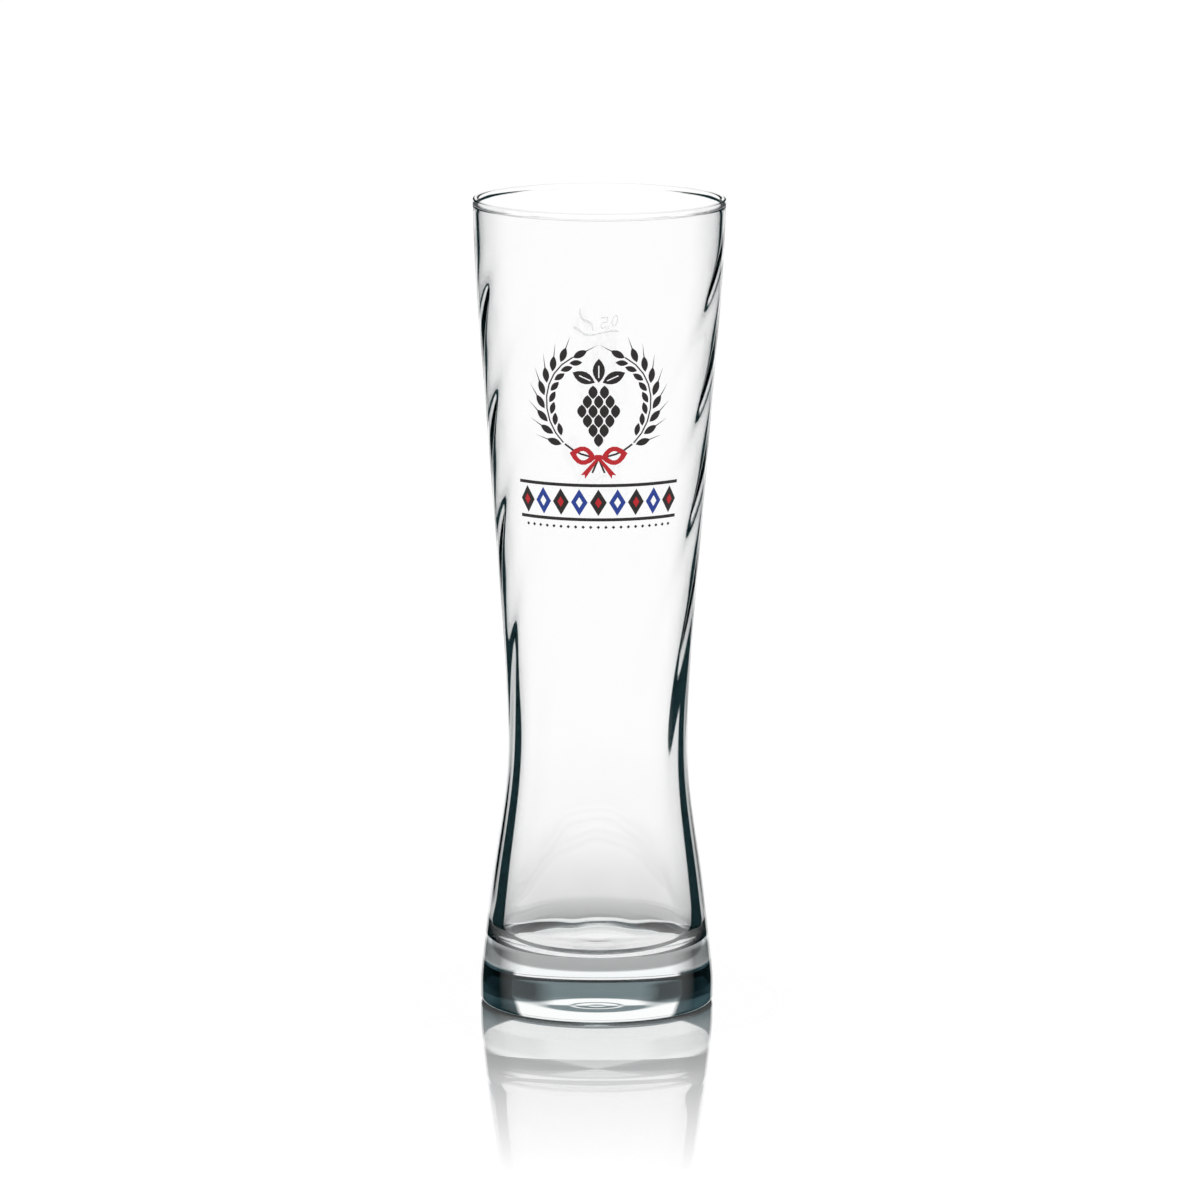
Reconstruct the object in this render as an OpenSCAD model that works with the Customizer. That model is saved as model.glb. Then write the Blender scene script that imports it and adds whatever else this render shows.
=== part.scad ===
// Tall wheat-beer glass for half a litre, standing on its foot.
// Millimetres. The origin is the middle of the foot on the table, +Z is up, and the print faces -Y.

/* [Glass] */
// Height from the table to the top of the rim
glass_h = 254; // [246:1:270]
// Diameter over the rim bead
rim_d = 79; // [76:0.2:84]
// Thickness of the rim bead
bead_t = 2.3; // [2.1:0.1:3]
// How far the bead stands out from the wall
bead_out = 0.25; // [0.1:0.05:0.4]
// How far below the rim the wall turns upright
collar_drop = 14; // [12:1:18]
// How far inside the rim it stands there
collar_in = 0.6; // [0.2:0.05:1.4]
// How far below the rim the shoulder lies
shoulder_drop = 63; // [55:1:72]
// How far inside the rim it stands
shoulder_in = 4.1; // [3:0.1:5]
// Height of the lower bowl
belly_h = 130; // [122:1:138]
// Diameter of the lower bowl
belly_d = 61.2; // [59:0.2:64]
// Height of the waist
waist_h = 81.5; // [76:0.5:88]
// Diameter at the waist
waist_d = 56.2; // [54:0.2:59]
// Height of the calf, where the flare of the foot begins
calf_h = 45; // [40:1:50]
// Diameter at the calf
calf_d = 64.2; // [62:0.2:67]
// Height of the shoulder of the foot
foot_shoulder_h = 12; // [10:0.5:14]
// Diameter at the shoulder of the foot
foot_shoulder_d = 72.1; // [70:0.1:72.8]
// Height at which the foot is widest
foot_lip_h = 6; // [4:0.5:8]
// Diameter of the foot
foot_d = 73; // [72.8:0.1:76]
// Radius of the heel between the foot and the table
heel_r = 1.5; // [1:0.1:3.5]

/* [Walls and bore] */
// Wall at the lip
lip_wall = 1.5; // [1.3:0.1:2]
// Wall at the lower bowl
belly_wall = 1.8; // [1.5:0.1:2.6]
// Wall at the waist
waist_wall = 3.1; // [2.4:0.1:3.8]
// Wall just above the floor of the bore
base_wall = 4; // [3:0.1:5]
// Thickness of the floor above the table
floor_t = 18.3; // [14:0.1:22]
// Radius between the floor and the wall of the bore
floor_fillet = 6.5; // [4:0.5:10]
// Diameter of the shallow hollow under the foot
punt_d = 20; // [14:1:40]
// Depth of the hollow under the foot
punt_depth = 0.15; // [0.1:0.05:1]

/* [Flutes] */
// Number of flutes round the bore
flutes = 10; // [8:1:16]
// How far the ribs between the flutes stand into the bore at its top
flute_depth = 0.35; // [0.2:0.05:0.8]
// How far they stand into it at its foot
low_flute_depth = 0.12; // [0.05:0.01:0.4]
// Height in which a flute in the bowl would go once round
flute_lead = 343; // [260:1:500]
// Height at which the flutes start to turn
turn_from_h = 42; // [34:1:60]
// Height from which the flutes turn at their full rate
turn_full_h = 178; // [150:1:200]
// Height over which the flutes rise out of the base
flute_rise = 9; // [6:0.5:14]
// Height over which the flutes die out below the smooth band
flute_fade = 22; // [16:1:30]
// Height of the smooth band inside the rim
band_h = 8; // [6:0.5:12]
// Step between the fluted bore and the smooth ends
band_step = 0.12; // [0.08:0.01:0.2]
// Angle of the first flute where it leaves the base
flute_phase = 22; // [0:1:35]

/* [Print] */
// Thickness of a layer of enamel
enamel_t = 0.1; // [0.06:0.01:0.2]
// How far below the rim the middle of the wreath lies
wreath_drop = 59.5; // [56:0.5:62]
// Radius of the wreath
wreath_r = 16.5; // [15:0.5:18]
// Length of a grain of wheat
grain_l = 5; // [4:0.1:5.5]
// Width of a grain of wheat
grain_w = 2.2; // [1.6:0.1:2.4]
// Pairs of grains in an ear
grain_pairs = 8; // [6:1:9]
// Length of the awns
awn_l = 4; // [3:0.1:5]
// Width of the stems
stem_w = 0.6; // [0.4:0.05:0.9]
// Length of a scale of the hop cone
scale_l = 4.3; // [3.6:0.1:4.8]
// Width of a scale of the hop cone
scale_w = 2.9; // [2.4:0.1:3.2]
// Length of a hop leaf
leaf_l = 7.6; // [6:0.1:8.5]
// Width of a hop leaf
leaf_w = 3.8; // [3:0.1:4.6]
// Length of a loop of the bow
bow_l = 8.4; // [7:0.1:9.5]
// Width of a loop of the bow
bow_w = 4.2; // [3.4:0.1:5]
// How far below the rim the middle of the lozenge band lies
lozenge_drop = 90.4; // [88:0.1:93]
// Width of a lozenge
lozenge_w = 5.2; // [4:0.1:5.6]
// Height of a lozenge
lozenge_l = 8.4; // [6:0.1:9]
// Gap between lozenges
lozenge_gap = 0.7; // [0.5:0.05:1.2]
// Number of lozenges in the band
lozenges = 9; // [5:2:9]
// Width of the ruled lines
rule_w = 1; // [0.6:0.05:1.2]
// Clear height between a ruled line and the lozenges
rule_gap = 0.7; // [0.4:0.05:1]
// Clear height between the lower ruled line and the row of dots
dot_gap = 1.9; // [1:0.1:2.4]
// Width of a dot
dot_w = 1.1; // [0.7:0.05:1.3]
// Number of dots
dots = 21; // [11:2:23]

/* [Fill mark] */
// How far below the rim the half-litre line lies
fill_drop = 47; // [42:0.5:54]
// Length of the half-litre line
fill_line_l = 13; // [8:0.5:20]
// Width of the half-litre line
fill_line_w = 0.6; // [0.4:0.05:0.9]
// Height of the figures
figure_h = 4.2; // [3:0.1:5]
// Width of a figure
figure_w = 2.7; // [2:0.1:3.2]
// Width of a pen stroke
stroke_w = 0.5; // [0.35:0.05:0.7]
// Clear height between the line and the figures
figure_gap = 1.2; // [0.8:0.1:2]

/* [Hidden] */

// Slopes of the wall at its stations, in radius per height
foot_taper = -0.12;
calf_taper = -0.145;
belly_taper = 0.082;
shoulder_taper = 0.075;
collar_taper = 0.04;
lip_taper = 0.03;

// Fineness of the curves
$fn = 96;
wall_steps = 42;
arc_steps = 6;
ring_steps = 44;
columns_per_flute = 10;
leaf_points = 6;
oval_points = 20;

// Power that narrows the ribs between the flutes
rib_power = 2;

// Overrun of a cut past the face that it opens
overrun = 2;

// Rim
bead_r = bead_t / 2;
bead_mid_r = rim_d / 2 - bead_r;
bead_mid_h = glass_h - bead_r;
lip_r = rim_d / 2 - bead_out;
lip_h = glass_h - bead_t;
lip_bore_r = lip_r - lip_wall;
collar_r = rim_d / 2 - collar_in;
shoulder_r = rim_d / 2 - shoulder_in;
bead_outer_a = -acos(min(1, (lip_r - bead_mid_r) / bead_r));
bead_inner_a = 180 + acos(min(1, (bead_mid_r - lip_bore_r) / bead_r));

// Heights of the bore
bore_from_h = floor_t + floor_fillet;
bore_to_h = glass_h - band_h;
columns = flutes * columns_per_flute;

// Height, radius and slope of the outer wall at each station
wall_stations = [
    [foot_lip_h, foot_d / 2, 0],
    [foot_shoulder_h, foot_shoulder_d / 2, foot_taper],
    [calf_h, calf_d / 2, calf_taper],
    [waist_h, waist_d / 2, 0],
    [belly_h, belly_d / 2, belly_taper],
    [glass_h - shoulder_drop, shoulder_r, shoulder_taper],
    [glass_h - collar_drop, collar_r, collar_taper],
    [lip_h, lip_r, lip_taper],
];
wall_thicknesses = [
    [bore_from_h, base_wall],
    [waist_h, waist_wall],
    [belly_h, belly_wall],
    [lip_h, lip_wall],
];

// A cubic from station a to station b
function hermite(z, a, b) =
    let (run = b[0] - a[0], t = (z - a[0]) / run)
    a[1] * (2 * t ^ 3 - 3 * t ^ 2 + 1) + b[1] * (3 * t ^ 2 - 2 * t ^ 3)
    + run * (a[2] * (t ^ 3 - 2 * t ^ 2 + t) + b[2] * (t ^ 3 - t ^ 2));

function along(z, stations, i = 0) =
    z <= stations[i + 1][0] || i + 2 >= len(stations)
    ? hermite(z, stations[i], stations[i + 1])
    : along(z, stations, i + 1);

function outer_r(z) = along(z, wall_stations);
function bore_r(z) = outer_r(z) - lookup(z, wall_thicknesses);
function ease(x) = let (t = max(0, min(1, x))) t * t * (3 - 2 * t);

// Heights of the rings of the outer wall, which the print shares
function ring_h(i) = foot_lip_h + (lip_h - foot_lip_h) * i / wall_steps;

// How far the flutes have turned at a height
function flute_turn(z) =
    let (run = turn_full_h - turn_from_h, t = max(0, (z - turn_from_h) / run))
    360 * run / flute_lead * (t < 1 ? t ^ 3 - t ^ 4 / 2 : t - 0.5);

function flute_height(z) =
    let (down = (bore_to_h - z) / (bore_to_h - bore_from_h))
    (flute_depth + (low_flute_depth - flute_depth) * down)
    * ease((z - bore_from_h) / flute_rise) * ease((bore_to_h - z) / flute_fade);

// One ring of the fluted bore, whose columns follow the flutes
function bore_ring(z, inset, at) = [
    for (i = [0 : columns - 1])
        let (
            a = flute_phase + 360 * i / columns + flute_turn(z),
            rib = flute_height(z) * ((1 - cos(360 * i / columns_per_flute)) / 2) ^ rib_power,
            r = bore_r(z) - band_step - rib - inset
        )
        [r * cos(a), r * sin(a), at]
];

// Outline of the glass with its bore closed at the height of the smooth band
module glass_outline() {
    polygon(concat(
        [for (i = [0 : arc_steps])
            let (r = punt_d / 2 * i / arc_steps)
            [r, punt_depth * (1 - (2 * r / punt_d) ^ 2)]],
        [for (i = [0 : arc_steps])
            let (a = 90 * i / arc_steps)
            [foot_d / 2 - heel_r + heel_r * sin(a), heel_r - heel_r * cos(a)]],
        [for (i = [0 : wall_steps]) [outer_r(ring_h(i)), ring_h(i)]],
        [for (i = [0 : 2 * arc_steps])
            let (a = bead_outer_a + (bead_inner_a - bead_outer_a) * i / (2 * arc_steps))
            [bead_mid_r + bead_r * cos(a), bead_mid_h + bead_r * sin(a)]],
        [[lip_bore_r, lip_h], [bore_r(bore_to_h), bore_to_h], [0, bore_to_h]]
    ));
}

// Floor of the bore, with the round up to its wall
module bore_floor() {
    r = bore_r(bore_from_h);
    rotate_extrude()
        polygon(concat(
            [[0, floor_t]],
            [for (i = [0 : arc_steps])
                let (a = 90 * i / arc_steps)
                [r - floor_fillet + floor_fillet * sin(a), bore_from_h - floor_fillet * cos(a)]],
            [[0, bore_from_h]]
        ));
}

module fluted_bore() {
    heights = [for (k = [0 : ring_steps]) bore_from_h + (bore_to_h - bore_from_h) * k / ring_steps];
    rings = concat(
        [bore_ring(bore_from_h, overrun, bore_from_h - overrun)],
        [for (z = heights) bore_ring(z, 0, z)],
        [bore_ring(bore_to_h, overrun, bore_to_h + overrun)]
    );
    last = len(rings) - 1;
    sides = [
        for (k = [0 : last - 1], i = [0 : columns - 1])
            let (j = (i + 1) % columns, low = k * columns, high = low + columns)
            each [[low + i, high + i, high + j], [low + i, high + j, low + j]]
    ];
    polyhedron(
        points = [for (ring = rings) each ring],
        faces = concat(
            sides,
            [[for (i = [0 : columns - 1]) i]],
            [[for (i = [columns - 1 : -1 : 0]) last * columns + i]]
        )
    );
}

module glass_body() {
    color([0.78, 0.88, 0.87, 0.45])
    difference() {
        rotate_extrude() glass_outline();
        bore_floor();
        fluted_bore();
    }
}

// Print: each motif is pushed out through a skin that lies on the glass
wreath_h = glass_h - wreath_drop;
lozenge_band_h = glass_h - lozenge_drop;
wreath_print_r = outer_r(wreath_h);
band_print_r = outer_r(lozenge_band_h);
stamp_from = waist_d / 4;
stamp_reach = max(rim_d, belly_d) / 2 + overrun - stamp_from;
function degrees_of(length, radius) = length / radius * 180 / PI;

module enamel_skin(layer = 0) {
    inner = layer * enamel_t;
    outer = inner + enamel_t;
    rows = [for (i = [0 : wall_steps]) if (ring_h(i) > waist_h && ring_h(i) < lip_h - band_h) i];
    rotate_extrude()
        polygon(concat(
            [for (i = rows) [outer_r(ring_h(i)) + outer, ring_h(i)]],
            [for (k = [len(rows) - 1 : -1 : 0]) [outer_r(ring_h(rows[k])) + inner, ring_h(rows[k])]]
        ));
}

module stamp(turn, height) {
    rotate([0, 0, turn])
        translate([0, -stamp_from, height])
            rotate([90, 0, 0])
                linear_extrude(stamp_reach) children();
}

// A shape set on the wreath's own plane, wrapped round the bowl, at a place and a tilt
module on_wreath(place, tilt) {
    stamp(degrees_of(place[0], wreath_print_r), wreath_h + place[1])
        rotate(tilt) children();
}

// A pointed leaf standing on the origin
module pointed_leaf(length, width) {
    side = [for (i = [1 : leaf_points - 1]) i / leaf_points];
    polygon(concat(
        [[0, 0]],
        [for (s = side) [2 * width * s * (1 - s), length * s]],
        [[0, length]],
        [for (k = [len(side) - 1 : -1 : 0])
            let (s = side[k])
            [-2 * width * s * (1 - s), length * s]]
    ));
}

// Wheat: the spine of each ear is an arc of the wreath
ear_from_a = -47;
ear_to_a = 62;
outer_tilt = 27;
inner_tilt = 36;
inner_share = 0.82;
grain_offset = grain_w * 0.42;
awn_w = stem_w * 0.55;
spine_w = stem_w * 0.7;
function on_arc(a, r = wreath_r) = [r * cos(a), r * sin(a)];
function ear_a(i) = ear_from_a + (ear_to_a - ear_from_a) * i / grain_pairs;

module awned_grain() {
    pointed_leaf(grain_l, grain_w);
    polygon([
        [-awn_w / 2, grain_l - awn_w],
        [awn_w / 2, grain_l - awn_w],
        [0, grain_l + awn_l],
    ]);
}

// Straight links along an arc of the wreath
module curved_stem(side, from_a, to_a, links, width) {
    link_a = (to_a - from_a) / links;
    link_l = 2 * wreath_r * sin(abs(link_a) / 2);
    for (i = [0 : links - 1]) {
        a = from_a + link_a * (i + 0.5);
        p = on_arc(a);
        on_wreath([side * p[0], p[1]], side * a)
            square([width, link_l + width / 2], center = true);
    }
}

// An ear on the right of the wreath; side -1 puts it on the left
module wheat_ear(side) {
    intersection() {
        enamel_skin();
        union() {
            for (i = [0 : grain_pairs - 1]) {
                a = ear_a(i);
                out = on_arc(a, wreath_r + grain_offset);
                in = on_arc(a + ear_a(0.5) - ear_a(0), wreath_r - grain_offset);
                on_wreath([side * out[0], out[1]], side * (a - outer_tilt)) awned_grain();
                on_wreath([side * in[0], in[1]], side * (a + inner_tilt))
                    pointed_leaf(grain_l * inner_share, grain_w * inner_share);
            }
            tip = on_arc(ear_to_a);
            on_wreath([side * tip[0], tip[1]], side * ear_to_a) awned_grain();
            curved_stem(side, ear_from_a, ear_to_a, grain_pairs, spine_w);
        }
    }
}

module wheat_ear_left() {
    color([0.16, 0.13, 0.12]) wheat_ear(-1);
}

module wheat_ear_right() {
    color([0.16, 0.13, 0.12]) wheat_ear(1);
}

// The stems run on from the ears to the knot of the bow, and stand out below it
stem_links = 4;
stem_from_a = ear_from_a - 3;
stem_to_a = -90;
stem_end_l = bow_l * 0.6;
stem_end_tilt = 158;

module wheat_stems() {
    color([0.16, 0.13, 0.12])
    intersection() {
        enamel_skin();
        difference() {
            union()
                for (side = [-1, 1]) {
                    curved_stem(side, stem_from_a, stem_to_a, stem_links, stem_w);
                    on_wreath([0, -bow_drop], side * stem_end_tilt)
                        translate([-stem_w / 2, 0]) square([stem_w, stem_end_l]);
                }
            bow_stamps();
        }
    }
}

// Hop cone: rows of scales that point down, one row between the next
cone_rows = [2, 3, 4, 3, 2, 1];
scale_pitch_share = 1.2;
row_pitch_share = 0.7;
cone_top = scale_l * 1.4;

module hop_cone() {
    color([0.2, 0.17, 0.15])
    intersection() {
        enamel_skin();
        union()
            for (row = [0 : len(cone_rows) - 1], k = [0 : cone_rows[row] - 1]) {
                x = (k - (cone_rows[row] - 1) / 2) * scale_w * scale_pitch_share;
                y = cone_top - row * scale_l * row_pitch_share;
                on_wreath([x, y], 180) pointed_leaf(scale_l, scale_w);
            }
    }
}

// Three leaves above the cone, each with its vein left clear
vein_w = stem_w * 0.6;
leaf_tilts = [-66, 0, 66];
leaf_foot = cone_top + scale_l * 0.2;

module hop_leaves() {
    color([0.2, 0.17, 0.15])
    intersection() {
        enamel_skin();
        union()
            for (tilt = leaf_tilts)
                on_wreath([-sin(tilt) * leaf_w / 3, leaf_foot], tilt)
                    difference() {
                        pointed_leaf(leaf_l, leaf_w);
                        translate([-vein_w / 2, leaf_l * 0.2])
                            square([vein_w, leaf_l * 0.5]);
                    }
    }
}

// Bow: two open loops, a knot and two tails, where the stems cross under the wreath
bow_drop = wreath_r * 1.02;
bow_loop_tilt = 80;
bow_tail_tilt = 142;
bow_hole_share = 0.5;
bow_waist_share = 1.4;
knot_w = bow_w * 0.5;
tail_w = bow_w * 0.42;
tail_l = bow_l * 0.8;

module bow_stamps() {
    loop_w = bow_w * bow_waist_share;
    for (side = [-1, 1]) {
        on_wreath([side * knot_w / 3, -bow_drop], -side * bow_loop_tilt)
            difference() {
                pointed_leaf(bow_l, loop_w);
                translate([0, bow_l * (1 - bow_hole_share) / 2])
                    pointed_leaf(bow_l * bow_hole_share, loop_w * bow_hole_share);
            }
        on_wreath([side * knot_w / 3, -bow_drop - knot_w / 3], -side * bow_tail_tilt)
            polygon([
                [-tail_w / 4, 0],
                [tail_w / 4, 0],
                [tail_w / 2, tail_l],
                [0, tail_l - tail_w / 2],
                [-tail_w / 2, tail_l],
            ]);
    }
    on_wreath([0, -bow_drop], 0) square([knot_w, knot_w], center = true);
}

module bow() {
    color([0.72, 0.11, 0.13])
    intersection() {
        enamel_skin();
        union() bow_stamps();
    }
}

// Lozenge band: dark and blue lozenges in turn, each with a smaller heart on it
lozenge_pitch = lozenge_w + lozenge_gap;
lozenge_half = (lozenges - 1) / 2;
heart_share = 0.4;
function lozenge_points(width, height) =
    [[0, -height / 2], [width / 2, 0], [0, height / 2], [-width / 2, 0]];

module lozenge_row(parity, layer, share) {
    intersection() {
        enamel_skin(layer);
        union()
            for (k = [-lozenge_half : lozenge_half])
                if (abs(k) % 2 == parity)
                    stamp(degrees_of(k * lozenge_pitch, band_print_r), lozenge_band_h)
                        polygon(lozenge_points(lozenge_w * share, lozenge_l * share));
    }
}

module dark_lozenges() {
    color([0.13, 0.11, 0.11]) lozenge_row(0, 0, 1);
}

module blue_lozenges() {
    color([0.1, 0.22, 0.55]) lozenge_row(1, 0, 1);
}

module red_hearts() {
    color([0.72, 0.11, 0.13]) lozenge_row(0, 1, heart_share);
}

module white_hearts() {
    color([0.93, 0.93, 0.92]) lozenge_row(1, 1, heart_share);
}

// Ruled lines above and below the lozenges, as sectors of the skin
rule_rise = lozenge_l / 2 + rule_gap + rule_w / 2;
rule_sweep = degrees_of(lozenges * lozenge_pitch, band_print_r);

module ruled_lines() {
    color([0.13, 0.11, 0.11])
    intersection() {
        enamel_skin();
        union()
            for (rise = [-rule_rise, rule_rise])
                translate([0, 0, lozenge_band_h + rise - rule_w / 2])
                    rotate_extrude(angle = rule_sweep, start = -90 - rule_sweep / 2)
                        translate([stamp_from, 0]) square([stamp_reach, rule_w]);
    }
}

// Row of dots under the band, each a small square on its corner
dot_rise = rule_rise + rule_w / 2 + dot_gap;
dot_sweep = rule_sweep * 0.9;

module dot_row() {
    color([0.13, 0.11, 0.11])
    intersection() {
        enamel_skin();
        union()
            for (k = [0 : dots - 1])
                stamp(dot_sweep * (k / (dots - 1) - 0.5), lozenge_band_h - dot_rise)
                    polygon(lozenge_points(dot_w, dot_w));
    }
}

// Fill mark on the back: the half-litre line with its figures above
fill_h = glass_h - fill_drop;
fill_print_r = outer_r(fill_h);
figure_base = fill_line_w / 2 + figure_gap;
figure_pitch = figure_w + stroke_w * 2;

function oval(width, height) =
    [for (i = [0 : oval_points - 1])
        let (a = 360 * i / oval_points)
        [width / 2 * cos(a), height / 2 * sin(a)]];

// A shape whose left and right on the back are x, standing on the figures' base line
module on_fill_mark(x, y) {
    stamp(180 + degrees_of(x, fill_print_r), fill_h + y) children();
}

module figure_zero() {
    difference() {
        polygon(oval(figure_w, figure_h));
        polygon(oval(figure_w - 2 * stroke_w, figure_h - 2 * stroke_w));
    }
}

module figure_five() {
    bowl_h = figure_h * 0.62;
    translate([-figure_w / 2, figure_h / 2 - stroke_w]) square([figure_w, stroke_w]);
    translate([-figure_w / 2, -figure_h / 2 + bowl_h * 0.8])
        square([stroke_w, figure_h - bowl_h * 0.8]);
    translate([0, -figure_h / 2 + bowl_h / 2])
        difference() {
            polygon(oval(figure_w, bowl_h));
            polygon(oval(figure_w - 2 * stroke_w, bowl_h - 2 * stroke_w));
            translate([-figure_w, -bowl_h / 4]) square([figure_w, bowl_h / 2]);
        }
}

module figure_comma() {
    translate([0, -figure_h / 2])
        polygon([
            [-stroke_w / 2, stroke_w],
            [-stroke_w, -stroke_w],
            [0, -stroke_w],
            [stroke_w / 2, stroke_w],
        ]);
}

module figure_litre() {
    square([stroke_w, figure_h], center = true);
}

module fill_line() {
    color([0.86, 0.87, 0.87])
    intersection() {
        enamel_skin();
        on_fill_mark(0, 0) square([fill_line_l, fill_line_w], center = true);
    }
}

module fill_figures() {
    middle = figure_base + figure_h / 2;
    color([0.86, 0.87, 0.87])
    intersection() {
        enamel_skin();
        union() {
            on_fill_mark(-figure_pitch * 1.25, middle) figure_zero();
            on_fill_mark(-figure_pitch * 0.62, middle) figure_comma();
            on_fill_mark(0, middle) figure_five();
            on_fill_mark(figure_pitch * 1.1, middle) figure_litre();
        }
    }
}

glass_body();
wheat_ear_left();
wheat_ear_right();
wheat_stems();
hop_cone();
hop_leaves();
bow();
dark_lozenges();
blue_lozenges();
red_hearts();
white_hearts();
ruled_lines();
dot_row();
fill_line();
fill_figures();
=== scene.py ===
"""Looks of a tall wheat-beer glass: its clear body, the enamel print on it and a plain white stage."""

from math import acos, atan2, cos, hypot, pi, radians, sin, tau

import bmesh
import bpy
from bpy.props import (
    FloatProperty,
    FloatVectorProperty,
    IntProperty,
    PointerProperty,
)
from mathutils import Euler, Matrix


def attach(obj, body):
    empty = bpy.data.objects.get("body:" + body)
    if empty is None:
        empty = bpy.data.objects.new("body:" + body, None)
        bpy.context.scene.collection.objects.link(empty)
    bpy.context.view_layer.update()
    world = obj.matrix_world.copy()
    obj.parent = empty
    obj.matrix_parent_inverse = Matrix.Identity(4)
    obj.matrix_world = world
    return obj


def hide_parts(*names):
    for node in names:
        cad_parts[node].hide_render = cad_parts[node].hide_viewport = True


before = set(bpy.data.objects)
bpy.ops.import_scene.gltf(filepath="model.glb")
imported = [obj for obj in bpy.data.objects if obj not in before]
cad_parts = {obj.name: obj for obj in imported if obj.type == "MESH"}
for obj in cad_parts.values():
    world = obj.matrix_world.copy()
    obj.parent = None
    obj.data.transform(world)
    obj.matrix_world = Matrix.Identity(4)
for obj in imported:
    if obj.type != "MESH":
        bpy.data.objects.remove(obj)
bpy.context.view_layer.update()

bl_info = {
    "name": "Wheat beer glass",
    "version": (1, 0, 0),
    "blender": (4, 5, 0),
    "location": "3D View > Sidebar > Glass",
    "description": "Builds a fluted wheat-beer glass, finishes its enamel print and sets a white stage",
    "category": "Object",
}

MM = 0.001


def length(name, description, default):
    """A length in metres, given in millimetres."""
    return FloatProperty(
        name=name, description=description, default=default * MM, min=0, precision=5, unit="LENGTH"
    )


def slope(name, where, default):
    """How far the outer wall goes outwards for each metre upwards."""
    return FloatProperty(name=name, description="Slope of the outer wall at " + where, default=default)


def angle(name, description, degrees):
    """An angle in radians, given in degrees."""
    return FloatProperty(name=name, description=description, default=radians(degrees), subtype="ANGLE")


def fraction(name, description, default):
    """A share of one."""
    return FloatProperty(
        name=name, description=description, default=default, min=0, max=1, subtype="FACTOR"
    )


def amount(name, description, default, least=0):
    """A plain number."""
    return FloatProperty(name=name, description=description, default=default, min=least)


def whole(name, description, default, least):
    """A whole number."""
    return IntProperty(name=name, description=description, default=default, min=least)


def tint(name, description, default):
    """A colour."""
    return FloatVectorProperty(
        name=name, description=description, default=default, size=3, min=0, max=1, subtype="COLOR"
    )


class GlassSizes(bpy.types.PropertyGroup):
    """Sizes of the glass: its CAD model's own, and those of the ripples and the proud wall"""

    height: length("Height", "Table to the top of the rim", 254)
    rim_diameter: length("Rim diameter", "Over the bead of the rim", 79)
    bead: length("Bead", "Thickness of the bead of the rim", 2.3)
    bead_out: length("Bead out", "How far the bead stands out from the wall", 0.25)
    lip_slope: slope("Lip slope", "the lip", 0.03)
    collar_drop: length("Collar drop", "Rim down to where the wall turns upright", 14)
    collar_in: length("Collar in", "How far inside the rim the collar stands", 0.6)
    collar_slope: slope("Collar slope", "the collar", 0.04)
    shoulder_drop: length("Shoulder drop", "Rim down to the shoulder", 63)
    shoulder_in: length("Shoulder in", "How far inside the rim the shoulder stands", 4.1)
    shoulder_slope: slope("Shoulder slope", "the shoulder", 0.075)
    belly_height: length("Belly height", "Height of the lower bowl", 130)
    belly_diameter: length("Belly diameter", "Diameter of the lower bowl", 61.2)
    belly_slope: slope("Belly slope", "the lower bowl", 0.082)
    waist_height: length("Waist height", "Height of the waist", 81.5)
    waist_diameter: length("Waist diameter", "Diameter of the waist", 56.2)
    calf_height: length("Calf height", "Height of the calf", 45)
    calf_diameter: length("Calf diameter", "Diameter of the calf", 64.2)
    calf_slope: slope("Calf slope", "the calf", -0.145)
    foot_shoulder_height: length("Foot shoulder height", "Height of the shoulder of the foot", 12)
    foot_shoulder_diameter: length("Foot shoulder diameter", "Diameter of the shoulder of the foot", 72.1)
    foot_shoulder_slope: slope("Foot shoulder slope", "the shoulder of the foot", -0.12)
    foot_lip_height: length("Foot lip height", "Height at which the foot is widest", 6)
    foot_diameter: length("Foot diameter", "Diameter of the foot", 73)
    heel_radius: length("Heel radius", "Round between the foot and the table", 1.5)
    lip_wall: length("Lip wall", "Thickness of the wall at the lip", 1.5)
    belly_wall: length("Belly wall", "Thickness of the wall at the lower bowl", 1.8)
    waist_wall: length("Waist wall", "Thickness of the wall at the waist", 3.1)
    base_wall: length("Base wall", "Thickness of the wall above the floor of the bore", 4)
    floor: length("Floor", "Thickness of the floor above the table", 18.3)
    floor_fillet: length("Floor fillet", "Round between the floor and the wall of the bore", 6.5)
    punt_diameter: length("Punt diameter", "Diameter of the hollow under the foot", 20)
    punt_depth: length("Punt depth", "Depth of the hollow under the foot", 0.15)
    punt_ripple: length("Punt ripple", "Height of the ripples in the hollow under the foot", 0.03)
    punt_wave: length("Punt wave", "Length of a ripple in the hollow under the foot", 4.2)
    floor_ripple: length("Floor ripple", "Height of the ripples in the floor of the bore", 0.05)
    floor_wave: length("Floor wave", "Length of a ripple in the floor of the bore", 7)
    proud: length("Proud", "How far the wall stands past the inner face of the print", 0.02)


class FluteSizes(bpy.types.PropertyGroup):
    """The flutes inside the bore, which turn as they rise"""

    count: whole("Count", "Number of flutes", 10, 3)
    depth: length("Depth", "How far the ribs stand into the bore at its top", 0.35)
    low_depth: length("Low depth", "How far the ribs stand into the bore at its foot", 0.12)
    lead: length("Lead", "Height in which a flute in the bowl would go once round", 343)
    turn_from: length("Turn from", "Height at which the flutes start to turn", 42)
    turn_full: length("Turn full", "Height from which they turn at their full rate", 178)
    rise: length("Rise", "Height over which they rise out of the base", 9)
    fade: length("Fade", "Height over which they die out under the band", 22)
    band: length("Band", "Height of the smooth band inside the rim", 8)
    step: length("Step", "Step between the fluted bore and its smooth ends", 0.12)
    crest: amount("Crest", "Power that narrows the ribs between the flutes", 2.0, 0.3)
    phase: angle("Phase", "Angle of the first flute at the base", 22)


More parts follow.
